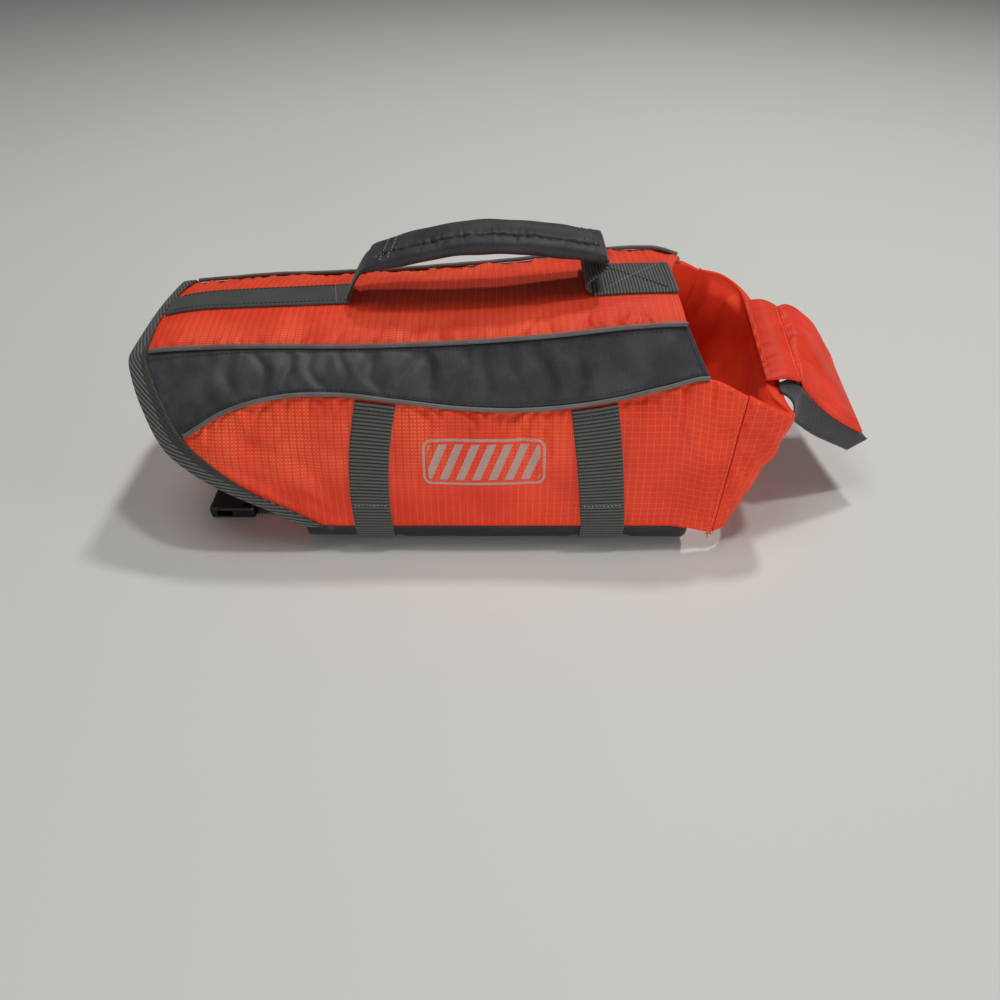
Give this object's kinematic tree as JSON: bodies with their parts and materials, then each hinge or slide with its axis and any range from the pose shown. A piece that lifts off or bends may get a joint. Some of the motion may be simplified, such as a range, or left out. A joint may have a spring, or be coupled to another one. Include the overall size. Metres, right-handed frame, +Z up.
{
  "type": "dog life jacket",
  "caption": "Padded dog life jacket with piped panels, belly straps, chin float and carrying handle; it stands on its belly with the neck and tail open.",
  "frame": {"origin": "on the underside of the belly, midway between the sides, about halfway along the back", "axes": "+X towards the neck, +Y towards the far side, +Z up from the belly to the handle"},
  "size_m": [0.4204, 0.1994, 0.1493],
  "materials": {
    "orange_ripstop": "bright orange-red woven ripstop over foam",
    "grey_oxford": "dark slate grey woven cloth",
    "piping": "mid grey corded piping",
    "binding_tape": "grey twill tape",
    "loop_facing": "charcoal hook-and-loop pile",
    "black_plastic": "black moulded plastic, satin",
    "grip_cloth": "dark grey padded cloth",
    "smooth_tape": "smooth grey tape",
    "ribbed_webbing": "grey ribbed webbing"
  },
  "bodies": {
    "root": {"top_panel": "orange_ripstop", "band_near": "grey_oxford", "band_far": "grey_oxford", "side_near": "orange_ripstop", "side_far": "orange_ripstop", "belly_panel": "grey_oxford", "chest_panel": "orange_ripstop", "chin_tongue": "orange_ripstop", "chin_flap": "orange_ripstop", "flap_facing": "loop_facing", "rear_binding": "binding_tape", "piping_upper_near": "piping", "piping_upper_far": "piping", "piping_lower_near": "piping", "piping_lower_far": "piping", "side_strap_rear_near": "ribbed_webbing", "side_strap_front_near": "ribbed_webbing", "side_strap_rear_far": "ribbed_webbing", "side_strap_front_far": "ribbed_webbing", "belly_strap_tail": "ribbed_webbing", "spine_tape_rear": "smooth_tape", "spine_strap_front": "ribbed_webbing", "handle_riser_rear": "grip_cloth", "handle_riser_front": "ribbed_webbing", "handle_grip": "grip_cloth", "buckle_front_socket": "black_plastic", "buckle_front_plug": "black_plastic", "buckle_rear_plug": "black_plastic", "buckle_rear_socket": "black_plastic"}
  },
  "joints": []
}
